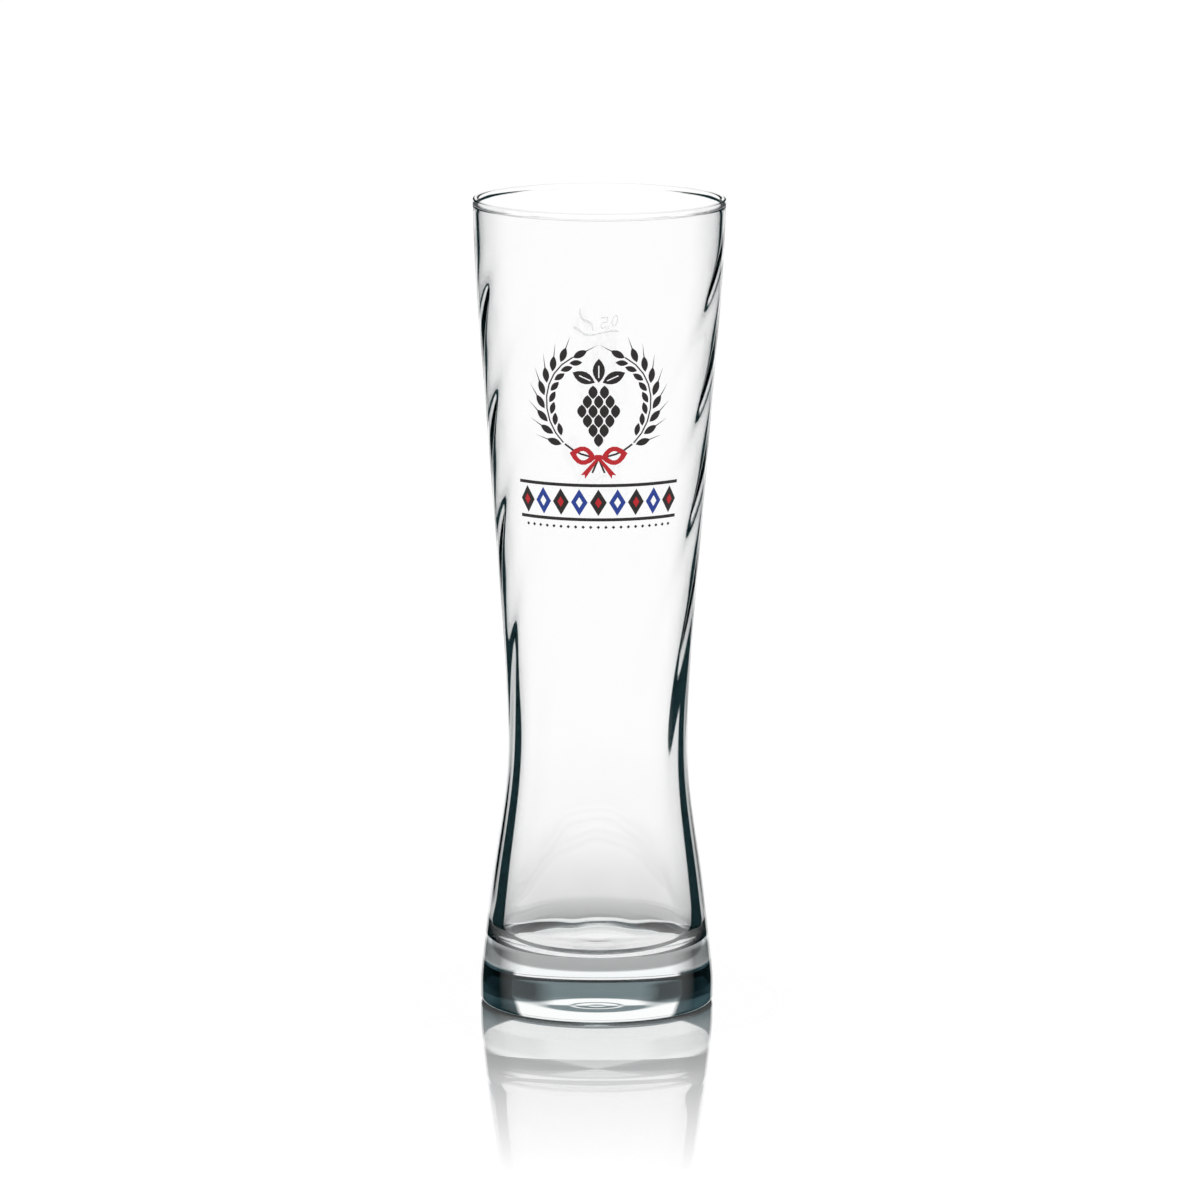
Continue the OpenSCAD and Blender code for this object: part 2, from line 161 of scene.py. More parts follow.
class GlassFineness(bpy.types.PropertyGroup):
    """How finely the glass is cut"""

    columns: whole("Columns", "Columns round the axis", 240, 24)
    wall_rings: whole("Wall rings", "Rings of the outer wall", 120, 8)
    bore_rings: whole("Bore rings", "Rings of the bore", 150, 8)
    round_rings: whole("Round rings", "Rings of each small round", 8, 3)
    disc_rings: whole("Disc rings", "Rings of the floor and the hollow", 40, 8)


class GlassLightAndTone(bpy.types.PropertyGroup):
    """How the clear glass takes light: the light and shade painted into its colour, its own tone and the
    tone of its shadow
    """

    lit_to: angle("Lit to", "Turn of the light up to which it is bright", 20)
    dark_from: angle("Dark from", "Turn of the light from which it is dark", 22)
    room_from: angle("Room from", "Slant from which a face mirrors the dark room", 48)
    room_full: angle("Room full", "Slant from which it mirrors nothing else", 58)
    rim_from: length("Rim from", "Height from which the glass is rim", 251.7)
    # The dark lines at the ends of the rim are painted
    rim_line: length("Rim line", "Half height of the dark line at the ends of the rim", 0.6)
    rim_clear: fraction("Rim clear", "Share of light that the rim lets straight through", 0.88)
    # Where the solid foot's sides and middle belt are painted dark, and how that painted dark shifts in
    # its mirror image
    foot_to: length("Foot to", "How high the dark sides of the solid foot reach", 14)
    foot_lit_to: angle("Foot lit to", "Slant up to which the solid foot is bright", 46)
    foot_dark_from: angle("Foot dark from", "Slant from which it is dark", 49)
    foot_soft_from: angle("Foot soft from", "Slant from which its middle belt darkens", 25)
    foot_soft_to: angle("Foot soft to", "Slant from which its middle belt is dark", 35)
    foot_soft: fraction("Foot soft", "How dark its middle belt and the round above it get", 0.85)
    foot_shade: fraction("Foot shade", "How much the sides above the foot darken", 0.7)
    foot_streak: amount("Foot streak", "How far streaks push the dark of the foot about", 0.1)
    mirror_lean: amount("Mirror lean", "How fast the dark of the mirrored foot narrows with height", 1.3)
    mirror_fade: fraction("Mirror fade", "How much of its belt's dark the mirrored foot loses", 0.8)
    # Painted shade on the glass as the floor mirrors it
    mirror_painted_shade: fraction("Mirror grey", "How much darker the mirror image in the floor is", 0.22)
    fillet_to: length("Fillet to", "Height up to which the floor of the bore rounds into its wall", 24.8)
    fillet_clear: fraction("Fillet clear", "Share of light that the round lets straight through", 0.35)
    # Painted colours: teal is a painted gleam in the foot's painted dark sides, and dark is painted where
    # the glass would bring light from beside the backdrop
    teal: tint("Teal", "The lighter tone in the dark sides of the foot", (0.045, 0.085, 0.1))
    dark: tint("Dark", "What shows where the light is turned aside", (0.012, 0.03, 0.034))
    tone: tint("Tone", "Tone of thick glass", (0.8, 0.93, 0.9))
    depth: amount("Depth", "How strong the tone is, per metre", 2.0)
    shadow: tint("Shadow", "Tone of the light in the shadow of the glass", (0.9, 0.92, 0.92))


class EnamelFinish(bpy.types.PropertyGroup):
    """Colours and finish of the print"""

    dark: tint("Dark", "Colour of the dark enamel", (0.014, 0.011, 0.01))
    red: tint("Red", "Colour of the red enamel", (0.45, 0.012, 0.018))
    blue: tint("Blue", "Colour of the blue enamel", (0.012, 0.04, 0.26))
    white: tint("White", "Colour of the white enamel", (0.95, 0.95, 0.94))
    thin: tint("Thin", "Colour of the thin enamel of the capacity mark", (0.95, 0.95, 0.94))
    thin_cover: fraction("Thin cover", "How much of what lies behind it the thin enamel covers", 0.4)
    gloss: fraction("Gloss", "How strongly the enamel mirrors", 0.25)
    rough: fraction("Rough", "Roughness of the smoothest places", 0.2)
    rough_by: fraction("Rough by", "How much rougher the roughest places are", 0.15)
    grain: fraction("Grain", "How strongly the fine grain shows", 0.15)
    grain_height: length("Grain height", "Height of the fine grain", 0.02)


class StageSizes(bpy.types.PropertyGroup):
    """Camera and floor"""

    distance: length("Distance", "Camera to the axis, level", 2551)
    eye: length("Eye height", "Camera above the table", 580)
    lens: amount("Lens", "Focal length in millimetres", 248.7, 1)
    pitch: angle("Pitch", "Camera's downward tilt", 10.063)
    roll: angle("Roll", "Camera's roll", 0.186)
    shift: amount("Shift", "Camera's shift to the side, in widths of the picture", 0.0016, -1)
    view_to: length("View to", "How far the camera sees", 50000)
    floor_side: length("Floor side", "Side of the floor", 14000)
    floor_gap: length("Floor gap", "How far the floor lies under the foot", 0.1)
    under_foot: length("Under foot", "Radius of the floor that the foot covers", 34)
    glow: amount("Glow", "How bright the floor under the foot is, through the glass", 0.9)
    halo_half: length("Halo half", "Half width of the strip of floor that it lights up", 34)
    halo_to: length("Halo to", "Radius to which the foot lights up the floor", 47.5)
    mirror_near: fraction("Mirror near", "How much the floor mirrors at the foot", 0.97)
    mirror_mid: fraction("Mirror mid", "How much it mirrors past the lit strip", 0.79)
    mirror_mid_at: length("Mirror mid at", "Radius at which it mirrors that much", 48)
    mirror_to: length("Mirror to", "Radius at which the floor's mirror image has faded", 230)
    lift: amount("Lift", "Light added to the floor as it is seen", 0.025)
    backdrop_to: angle("Backdrop to", "How high the white backdrop reaches", 12.6)
    room_from: angle("Room from", "Where the dark room above it begins", 13.1)
    room: tint("Room", "The dim room above the backdrop", (0.14, 0.19, 0.205))


def cubic(z, a, b):
    """Radius at height z between two stations, each a height, a radius and a slope."""
    run = b[0] - a[0]
    t = (z - a[0]) / run
    return (
        a[1] * (2 * t**3 - 3 * t**2 + 1)
        + b[1] * (3 * t**2 - 2 * t**3)
        + run * (a[2] * (t**3 - 2 * t**2 + t) + b[2] * (t**3 - t**2))
    )


def ease(x):
    """Goes from 0 to 1 and is level at both ends."""
    t = max(0.0, min(1.0, x))
    return t * t * (3 - 2 * t)


def ripple(r, reach, height, wave):
    """Ripples round the axis, which die out towards their reach."""
    return height * (1 - cos(tau * r / wave)) / 2 * (1 - (r / reach) ** 2)


def arc(mid_r, mid_h, radius, a, b, steps):
    """Points from angle a to angle b round a middle, each a radius from the axis and a height."""
    for i in range(steps + 1):
        t = a + (b - a) * i / steps
        yield mid_r + radius * cos(t), mid_h + radius * sin(t)


class Shape:
    """Heights and radii worked out from the sizes."""

    def __init__(self, s, flutes):
        self.s, self.f = s, flutes
        self.bead_r = s.bead / 2
        self.bead_mid_r = s.rim_diameter / 2 - self.bead_r
        self.bead_mid_h = s.height - self.bead_r
        self.lip_r = s.rim_diameter / 2 - s.bead_out
        self.lip_h = s.height - s.bead
        self.lip_bore_r = self.lip_r - s.lip_wall
        self.bore_from = s.floor + s.floor_fillet
        self.bore_to = s.height - flutes.band
        self.stations = [
            (s.foot_lip_height, s.foot_diameter / 2, 0),
            (s.foot_shoulder_height, s.foot_shoulder_diameter / 2, s.foot_shoulder_slope),
            (s.calf_height, s.calf_diameter / 2, s.calf_slope),
            (s.waist_height, s.waist_diameter / 2, 0),
            (s.belly_height, s.belly_diameter / 2, s.belly_slope),
            (s.height - s.shoulder_drop, s.rim_diameter / 2 - s.shoulder_in, s.shoulder_slope),
            (s.height - s.collar_drop, s.rim_diameter / 2 - s.collar_in, s.collar_slope),
            (self.lip_h, self.lip_r, s.lip_slope),
        ]
        self.walls = [
            (self.bore_from, s.base_wall),
            (s.waist_height, s.waist_wall),
            (s.belly_height, s.belly_wall),
            (self.lip_h, s.lip_wall),
        ]

    def outer(self, z):
        """Radius of the outer wall."""
        for a, b in zip(self.stations, self.stations[1:]):
            if z <= b[0] or b is self.stations[-1]:
                return cubic(z, a, b)

    def wall(self, z):
        """Thickness of the wall."""
        for a, b in zip(self.walls, self.walls[1:]):
            if z <= b[0] or b is self.walls[-1]:
                return a[1] + (b[1] - a[1]) * ease((z - a[0]) / (b[0] - a[0]))

    def bore(self, z):
        """Radius of the bore without its ribs. The step in it is half done where the flutes end."""
        done = (self.bore_to - z) / self.f.fade + 0.5
        return self.outer(z) - self.wall(z) - self.f.step * ease(done)

    def turn(self, z):
        """Angle through which the flutes have turned."""
        run = self.f.turn_full - self.f.turn_from
        t = max(0.0, (z - self.f.turn_from) / run)
        return tau * run / self.f.lead * (t**3 - t**4 / 2 if t < 1 else t - 0.5)

    def rib(self, z):
        """How far the ribs between the flutes stand into the bore."""
        low = ease((z - self.bore_from) / self.f.rise)
        high = ease((self.bore_to - z) / self.f.fade)
        down = (self.bore_to - z) / (self.bore_to - self.bore_from)
        return (self.f.depth + (self.f.low_depth - self.f.depth) * down) * low * high

    def fluted(self, r, a, z):
        """Radius r of the bore with its ribs, at angle a."""
        along = self.f.count * (a - self.f.phase - self.turn(z))
        return r - self.rib(z) * ((1 - cos(along)) / 2) ** self.f.crest

    def outline(self, fine):
        """Outline from the axis under the foot to the axis on the floor, and where its bore starts."""
        s, n, m = self.s, fine.round_rings, fine.disc_rings
        points = []
        for i in range(m + 1):
            r = s.punt_diameter / 2 * i / m
            hollow = s.punt_depth * (1 - (i / m) ** 2)
            points.append((r, hollow + ripple(r, s.punt_diameter / 2, s.punt_ripple, s.punt_wave)))
        heel_r = s.foot_diameter / 2 - s.heel_radius
        points += arc(heel_r, s.heel_radius, s.heel_radius, -pi / 2, 0, n)
        for i in range(fine.wall_rings + 1):
            z = s.foot_lip_height + (self.lip_h - s.foot_lip_height) * i / fine.wall_rings
            points.append((self.outer(z), z))
        a = -acos(min(1, (self.lip_r - self.bead_mid_r) / self.bead_r))
        b = pi + acos(min(1, (self.bead_mid_r - self.lip_bore_r) / self.bead_r))
        points += arc(self.bead_mid_r, self.bead_mid_h, self.bead_r, a, b, 2 * n)
        # The inner half of the bead counts as bore
        first_bore = len(points) - n
        for i in range(fine.bore_rings + 1):
            z = self.lip_h + (self.bore_from - self.lip_h) * i / fine.bore_rings
            points.append((self.bore(z), z))
        fillet_r = self.bore(self.bore_from) - s.floor_fillet
        points += arc(fillet_r, self.bore_from, s.floor_fillet, 0, -pi / 2, n)
        for i in range(1, m + 1):
            r = fillet_r * (1 - i / m)
            points.append((r, s.floor + ripple(r, fillet_r, s.floor_ripple, s.floor_wave)))
        return points, first_bore


def link_mesh(name, bm):
    """Makes a linked object of a bmesh, with its faces outwards."""
    bmesh.ops.recalc_face_normals(bm, faces=bm.faces)
    mesh = bpy.data.meshes.new(name)
    bm.to_mesh(mesh)
    bm.free()
    made = bpy.data.objects.new(name, mesh)
    bpy.context.scene.collection.objects.link(made)
    return made


WHITE = (1, 1, 1, 1)
BLACK = (0, 0, 0, 1)


class Nodes:
    """Adds and links the nodes of a new material or world."""

    def __init__(self, owner):
        self.owner = owner
        owner.use_nodes = True
        self.tree = owner.node_tree
        self.tree.nodes.clear()

    def add(self, kind, settings=(), **inputs):
        """Adds a node with its settings and inputs, whose names have _ for a space."""
        node = self.tree.nodes.new(kind)
        for key, value in dict(settings).items():
            setattr(node, key, value)
        for key, value in inputs.items():
            self.put(node, key.replace("_", " "), value)
        return node

    def put(self, node, key, value):
        """Gives an input a value or links it to an output."""
        socket = node.inputs[key]
        if isinstance(value, bpy.types.NodeSocket):
            self.tree.links.new(value, socket)
        else:
            socket.default_value = value

    def put_all(self, node, *values):
        """Fills the inputs of a node in their order."""
        for i, value in enumerate(values):
            self.put(node, i, value)
        return node

    def math(self, operation, *values, clamp=False):
        """Result of a Math node."""
        node = self.add("ShaderNodeMath", {"operation": operation, "use_clamp": clamp})
        return self.put_all(node, *values).outputs[0]

    def times(self, first, *others):
        """Product of two or more values."""
        for other in others:
            first = self.math("MULTIPLY", first, other)
        return first

    def some(self, depth):
        """1 where light has bounced that way at least once."""
        return self.math("GREATER_THAN", depth, 0.5)

    def vector(self, operation, *values):
        """Results of a Vector Math node."""
        return self.put_all(self.add("ShaderNodeVectorMath", {"operation": operation}), *values).outputs

    def ramp(self, factor, *stops):
        """A grey or a colour for each position between 0 and 1."""
        node = self.add("ShaderNodeValToRGB", Fac=factor)
        elements = node.color_ramp.elements
        while len(elements) < len(stops):
            elements.new(1)
        for element, (at, value) in zip(elements, stops):
            element.position = at
            element.color = (*value, 1) if isinstance(value, tuple) else (value, value, value, 1)
        return node.outputs["Color"]

    def noise(self, where, scale, detail):
        """Cloudy values between 0 and 1."""
        return self.add("ShaderNodeTexNoise", Vector=where, Scale=scale, Detail=detail).outputs["Fac"]

    def mix(self, factor, a, b):
        """One shader laid over another."""
        return self.put_all(self.add("ShaderNodeMixShader"), factor, a, b).outputs[0]

    def blend(self, factor, a, b):
        """One colour laid over another."""
        node = self.add("ShaderNodeMix", {"data_type": "RGBA"})
        for key, value in ((0, factor), (6, a), (7, b)):
            self.put(node, key, value)
        return node.outputs[2]

    def output(self, surface, volume=None, kind="ShaderNodeOutputMaterial"):
        """Links the shaders to the output, and returns the finished material or world."""
        out = self.add(kind, Surface=surface)
        if volume is not None:
            self.put(out, "Volume", volume)
        return self.owner


# Refractive index of soda-lime glass
IOR = 1.52

# Noise that pushes the foot's painted dark and teal about in streaks: stretch along each axis, scale and
# detail of that noise
STREAK_STRETCH = (0.5, 0.5, 2.0)
STREAK_SCALE = 90.0
STREAK_DETAIL = 2.0

# Masks by height for the foot's painted dark and shade, which is given as a share of twice the height of
# the foot's painted dark sides
FOOT = ((0.48, 1.0), (0.52, 0.0))
BELT = ((0.19, 0.0), (0.23, 1.0), (0.4, 1.0), (0.44, 0.0))
COLLAR = ((0.48, 0.0), (0.52, 1.0), (0.69, 1.0), (0.74, 0.0))

# The same share below which the painted dark sides widen towards the table, and how fast they do
HEEL_TO = 0.25
HEEL_LEAN = 0.25

# Mask by swing, which is 0 in the middle of the glass as it is seen and 1 at its edges
GLEAM = ((0.45, 0.0), (0.62, 0.25), (0.76, 0.25), (0.88, 0.0))

# Swing at which the shade above the foot starts and is full
SHADE_FROM = 0.25
SHADE_FULL = 0.5

# Swing, pushed about by the streaks, at which the round of the bore's floor starts to take its painted
# dark and is fully painted dark
CORNER_FROM = 0.2
CORNER_FULL = 0.36

# Swing up to which that round lets some light straight through, and from which it lets none
CLEAR_TO = 0.12
CLEAR_NONE = 0.35

# Where the streaks' noise and the gleam together go from the painted dark to the painted teal gleam
TEAL_FROM = 0.4
TEAL_FULL = 0.8

# Half height of the painted dark lines of the rim by swing, in rim lines
INNER_LINE = ((0.14, 0.0), (0.6, 1.0))
OUTER_LINE = ((0.0, 0.1), (0.4, 0.1), (0.75, 0.5))
UPPER_LINE = ((0.0, 0.05), (0.5, 0.08), (0.9, 0.35))

# Height of the upper painted dark line in the rim and width of a line's soft edge, in rim lines
UPPER_LINE_AT = 3.4
LINE_EDGE = 0.1

# Value of the bore attribute from which a place on the bead has the inner line
INNER_FROM = 0.3


def facing(slant):
    """What a Layer Weight node with a blend of 0.5 gives out as Facing, at a slant to the view."""
    return 1 - cos(slant)


class GlassNodes(Nodes):
    """Nodes of the clear glass, with the values that its masks share."""

    def __init__(self, finish):
        super().__init__(bpy.data.materials.new("clear_glass"))
        self.finish = finish
        self.path = self.add("ShaderNodeLightPath").outputs
        self.inside = self.add("ShaderNodeNewGeometry").outputs["Backfacing"]
        self.bore = self.add("ShaderNodeAttribute", {"attribute_name": "bore"}).outputs["Fac"]
        self.ratio = self.add("ShaderNodeAttribute", {"attribute_name": "ratio"}).outputs["Fac"]

        # The outer wall from the air, the same in the floor's mirror, and the bore's wall from the glass
        self.outside = self.math("SUBTRACT", 1.0, self.math("MAXIMUM", self.inside, self.bore))
        self.below = self.times(self.outside, self.some(self.path["Glossy Depth"]))
        self.wall = self.times(self.inside, self.bore)

        where = self.add("ShaderNodeTexCoord").outputs["Object"]
        self.height = self.add("ShaderNodeSeparateXYZ", Vector=where).outputs["Z"]
        self.rise = self.math("DIVIDE", self.height, 2 * finish.foot_to)

        # Slant of the surface, swing of a plain upright wall in its place, and the angles they stand for
        outwards = self.vector("NORMALIZE", self.vector("MULTIPLY", where, (1, 1, 0))[0])[0]
        self.slant = self.add("ShaderNodeLayerWeight", Blend=0.5).outputs["Facing"]
        self.swing = self.add("ShaderNodeLayerWeight", Blend=0.5, Normal=outwards).outputs["Facing"]
        self.at_rib = self.math("ARCCOSINE", self.math("SUBTRACT", 1.0, self.slant))
        self.at_round = self.math("ARCCOSINE", self.math("SUBTRACT", 1.0, self.swing))

        # Uneven streaks of noise, and the swing as they push it about, which moves the painted dark
        stretched = self.add("ShaderNodeMapping", Vector=where, Scale=STREAK_STRETCH).outputs[0]
        self.cloud = self.noise(stretched, STREAK_SCALE, STREAK_DETAIL)
        middle = self.math("SUBTRACT", self.swing, finish.foot_streak / 2)
        self.streaked = self.math("MULTIPLY_ADD", self.cloud, finish.foot_streak, middle)

    def crossing(self, sine):
        """How far light turns where it crosses the outer wall, for the sine of its angle in the air."""
        low = self.math("MINIMUM", sine, 1.0)
        within = self.math("ARCSINE", self.math("DIVIDE", low, IOR))
        return self.math("SUBTRACT", self.math("ARCSINE", low), within)

    def turned_by_mirror(self):
        """How far light is turned that the bore's wall mirrors inside the glass."""
        back = self.math("MULTIPLY_ADD", self.at_rib, 2.0, self.times(self.at_round, -1.0))
        reach = self.times(self.ratio, IOR)
        before = self.crossing(self.times(reach, self.math("SINE", self.at_round)))
        after = self.crossing(self.times(reach, self.math("SINE", back)))
        turned = self.math("SUBTRACT", pi, self.math("ADD", self.at_round, back))
        return self.math("SUBTRACT", turned, self.math("ADD", before, after))

    def turned_by_bore(self):
        """How far light is turned that crosses the bore."""
        sine = self.math("MINIMUM", self.times(self.math("SINE", self.at_rib), IOR), 1.0)
        lean = self.math("SUBTRACT", self.at_round, self.at_rib)
        air = self.math("ADD", self.math("ARCSINE", sine), lean)
        sine = self.math("SINE", air)
        back = self.math("ARCSINE", self.math("DIVIDE", sine, IOR))
        bends = self.math("SUBTRACT", self.times(air, 2.0), self.math("ADD", self.at_round, back))
        before = self.crossing(self.times(self.ratio, IOR, self.math("SINE", self.at_round)))
        after = self.crossing(self.times(self.ratio, sine))
        return self.math("SUBTRACT", self.math("ADD", before, after), bends)

    def lit(self, turned):
        """White where light comes from the bright backdrop, and dark where it comes from beside it."""
        quarter = pi / 2
        return self.ramp(
            self.math("DIVIDE", self.math("ABSOLUTE", turned), quarter),
            (self.finish.lit_to / quarter, 1.0),
            (self.finish.dark_from / quarter, tuple(self.finish.dark)),
        )

    def front_light(self):
        """What the outer wall mirrors: white, but dark at the slants that mirror the room."""
        dark = tuple(self.finish.dark)
        return self.ramp(
            self.slant,
            (facing(self.finish.room_from), 1.0),
            (facing(self.finish.room_full), dark),
            (facing((pi - self.finish.dark_from) / 2), dark),
            (facing((pi - self.finish.lit_to) / 2), 1.0),
        )

    def painted_dark(self):
        """Painted dark for the foot's sides and the bore floor's round, with a painted teal gleam towards
        the sides of the foot.
        """
        tones = self.math("ADD", self.cloud, self.ramp(self.swing, *GLEAM))
        return self.ramp(
            tones, (TEAL_FROM, tuple(self.finish.dark)), (TEAL_FULL, tuple(self.finish.teal))
        )

    def foot_sides(self):
        """Where the sides of the solid foot are painted dark, and those of its mirror image."""
        f = self.finish
        heel = self.math("SUBTRACT", HEEL_TO, self.rise, clamp=True)
        lean = self.math("MULTIPLY_ADD", heel, HEEL_LEAN, self.swing)
        lean = self.math("MULTIPLY_ADD", self.times(self.below, self.rise), -f.mirror_lean, lean)
        sharp = self.ramp(lean, (facing(f.foot_lit_to), 0.0), (facing(f.foot_dark_from), 1.0))
        soft = self.ramp(
            self.streaked, (facing(f.foot_soft_from), 0.0), (facing(f.foot_soft_to), f.foot_soft)
        )
        kept = self.math("MULTIPLY_ADD", self.below, -f.mirror_fade, 1.0)
        soft = self.times(self.ramp(self.rise, *BELT), soft, kept)
        return self.times(self.outside, self.ramp(self.rise, *FOOT), self.math("MAXIMUM", sharp, soft))

    def foot_shade(self):
        """Where the sides just above the solid foot are shaded."""
        across = self.ramp(self.swing, (SHADE_FROM, 0.0), (SHADE_FULL, self.finish.foot_shade))
        return self.times(self.outside, self.ramp(self.rise, *COLLAR), across)

    def line(self, reach, off):
        """Where a painted dark line shows, by its half height and by how far off its middle a place is."""
        away = self.times(self.math("ABSOLUTE", off), -1.0)
        left = self.math("MULTIPLY_ADD", reach, self.finish.rim_line, away)
        return self.math("DIVIDE", left, self.finish.rim_line * LINE_EDGE, clamp=True)

    def rim(self):
        """Where the rim has painted dark lines, and how much light it lets straight through."""
        unit = self.finish.rim_line
        above = self.math("SUBTRACT", self.height, self.finish.rim_from)
        of_bore = self.math("GREATER_THAN", self.bore, INNER_FROM)
        reach = self.blend(of_bore, self.ramp(self.swing, *OUTER_LINE), self.ramp(self.swing, *INNER_LINE))
        lower = self.line(reach, self.math("MULTIPLY_ADD", self.bore, -unit, above))
        upper = self.math("SUBTRACT", above, UPPER_LINE_AT * unit)
        upper = self.line(self.ramp(self.swing, *UPPER_LINE), upper)
        dark = self.math("SUBTRACT", self.math("MAXIMUM", lower, upper), self.inside, clamp=True)
        clear = self.times(self.math("DIVIDE", above, unit, clamp=True), self.finish.rim_clear)
        return dark, self.math("SUBTRACT", clear, dark, clamp=True)


def glass_material(finish):
    """Clear glass, which is dark where its walls would bring light from beside the backdrop."""
    n = GlassNodes(finish)
    dark = (*finish.dark, 1)
    painted_dark = n.painted_dark()
    # Painted dark in the round where the bore's floor meets its wall
    fillet = n.times(n.wall, n.math("LESS_THAN", n.height, finish.fillet_to))
    corner_painted_dark = n.ramp(n.streaked, (CORNER_FROM, 0.0), (CORNER_FULL, finish.foot_soft))
    corner_painted_dark = n.times(fillet, corner_painted_dark)
    # Painted dark lines at the ends of the rim, and the rim's straight-through light
    rim_painted_lines, rim_clear = n.rim()

    bent = n.blend(n.wall, WHITE, n.lit(n.turned_by_bore()))
    # Painted shade: the glass is drawn darker where the floor mirrors it
    bent = n.blend(n.times(n.below, finish.mirror_painted_shade), bent, BLACK)
    bent = n.blend(n.foot_shade(), bent, BLACK)
    bent = n.blend(n.foot_sides(), bent, painted_dark)
    bent = n.blend(corner_painted_dark, bent, painted_dark)
    bent = n.blend(rim_painted_lines, bent, dark)

    mirrored = n.blend(n.outside, WHITE, n.front_light())
    mirrored = n.blend(n.wall, mirrored, n.lit(n.turned_by_mirror()))
    mirrored = n.blend(corner_painted_dark, mirrored, painted_dark)
    mirrored = n.blend(rim_painted_lines, mirrored, dark)

    fresnel = n.add("ShaderNodeFresnel", IOR=IOR).outputs[0]
    bent = n.add("ShaderNodeBsdfRefraction", Color=bent, Roughness=0.0, IOR=IOR).outputs[0]
    mirrored = n.add("ShaderNodeBsdfGlossy", Color=mirrored, Roughness=0.0).outputs[0]
    surface = n.mix(fresnel, bent, mirrored)

    astray = n.math("MAXIMUM", n.some(n.path["Diffuse Depth"]), n.path["Is Shadow Ray"])
    see_through = n.blend(astray, WHITE, (*finish.shadow, 1))
    clear = n.add("ShaderNodeBsdfTransparent", Color=see_through).outputs[0]
    fillet_clear = n.ramp(n.swing, (CLEAR_TO, finish.fillet_clear), (CLEAR_NONE, 0.0))
    straight = n.math("MAXIMUM", rim_clear, n.times(fillet, fillet_clear))
    surface = n.mix(n.math("MAXIMUM", astray, straight), surface, clear)

    volume = n.add("ShaderNodeVolumeAbsorption", Color=(*finish.tone, 1), Density=finish.depth)
    return n.output(surface, volume.outputs[0])


# Clouds in the enamel's colour and roughness, and the fine grain on it: scale and detail of their noise
CLOUD_SCALE = 900.0
CLOUD_DETAIL = 4.0
GRAIN_SCALE = 4000.0
GRAIN_DETAIL = 2.0

# The paler tone of the clouds: times and plus the enamel's own, and its greatest share
PALER_TIMES = 1.25
PALER_PLUS = 0.01
PALER_SHARE = 0.5


def enamel_material(name, colour, cover, finish):
    """Fired enamel with a slightly uneven tone and a fine grain."""
    n = Nodes(bpy.data.materials.new(name))
    where = n.add("ShaderNodeTexCoord").outputs["Object"]
    cloud = n.noise(where, CLOUD_SCALE, CLOUD_DETAIL)
    paler = tuple(min(1, part * PALER_TIMES + PALER_PLUS) for part in colour)
    base = n.blend(n.times(cloud, PALER_SHARE), (*colour, 1), (*paler, 1))
    rough = n.math("MULTIPLY_ADD", cloud, finish.rough_by, finish.rough)
    grain = n.noise(where, GRAIN_SCALE, GRAIN_DETAIL)
    bump = n.add("ShaderNodeBump", Strength=finish.grain, Distance=finish.grain_height, Height=grain)
    surface = n.add(
        "ShaderNodeBsdfPrincipled",
        Base_Color=base,
        Roughness=rough,
        Specular_IOR_Level=finish.gloss,
        Alpha=cover,
        Normal=bump.outputs[0],
    )
    return n.output(surface.outputs[0])


# Painted shade of the floor as the glass shows it, each grey with its radius in millimetres
FLOOR_PAINTED_SHADE = ((45, 0.36), (60, 0.42), (135, 0.69), (170, 0.78), (210, 0.91), (260, 1.0))

# Soft edges of the floor's lit strip and disc, where 0.5 is the strip's half width or the disc's radius
STRIP_EDGE = ((0.45, 1.0), (0.55, 0.0))
HALO_EDGE = ((0.49, 1.0), (0.51, 0.0))


def by_radius(n, radius, *stops):
    """A grey for each radius in metres, which is doubled to use more of the ramp."""
    return n.ramp(n.times(radius, 2.0), *((2 * at, grey) for at, grey in stops))


def floor_material(stage):
    """White floor with a fading mirror image. Through the glass it shows painted shade near the foot, a
    painted lit strip and a painted glow under the foot.
    """
    n = Nodes(bpy.data.materials.new("white_floor"))
    path = n.add("ShaderNodeLightPath").outputs
    where = n.add("ShaderNodeTexCoord").outputs["Object"]
    radius = n.vector("LENGTH", where)["Value"]
    across = n.math("ABSOLUTE", n.add("ShaderNodeSeparateXYZ", Vector=where).outputs["X"])
    through = n.some(path["Transmission Depth"])

    near = by_radius(n, radius, *((at * MM, grey) for at, grey in FLOOR_PAINTED_SHADE))
    strip = n.ramp(n.math("DIVIDE", across, 2 * stage.halo_half), *STRIP_EDGE)
    halo = n.ramp(n.math("DIVIDE", radius, 2 * stage.halo_to), *HALO_EDGE)
    near = n.blend(n.times(strip, halo), near, WHITE)
    matt = n.add("ShaderNodeBsdfDiffuse", Color=n.blend(through, WHITE, near)).outputs[0]

    under = n.times(through, n.math("LESS_THAN", radius, stage.under_foot))
    # Painted glow of the floor under the foot, as the glass shows it
    glow = n.add("ShaderNodeEmission", Strength=stage.glow).outputs[0]
    matt = n.mix(under, matt, glow)

    viewed = n.math("MAXIMUM", path["Is Glossy Ray"], path["Is Transmission Ray"])
    viewed = n.math("MAXIMUM", viewed, path["Is Camera Ray"])
    lift = n.add("ShaderNodeEmission", Strength=n.times(viewed, stage.lift)).outputs[0]
    matt = n.put_all(n.add("ShaderNodeAddShader"), matt, lift).outputs[0]

    gloss = n.add("ShaderNodeBsdfGlossy", Color=WHITE, Roughness=0.0).outputs[0]
    mirrors = by_radius(
        n,
        radius,
        (stage.under_foot, stage.mirror_near),
        (stage.mirror_mid_at, stage.mirror_mid),
        (stage.mirror_to, 0.0),
    )
    return n.output(n.mix(n.times(mirrors, path["Is Camera Ray"]), matt, gloss))


# How often light has crossed glass where it can show the dark room, give or take
CROSSINGS = 2.0
CROSSINGS_OFF = 1.5


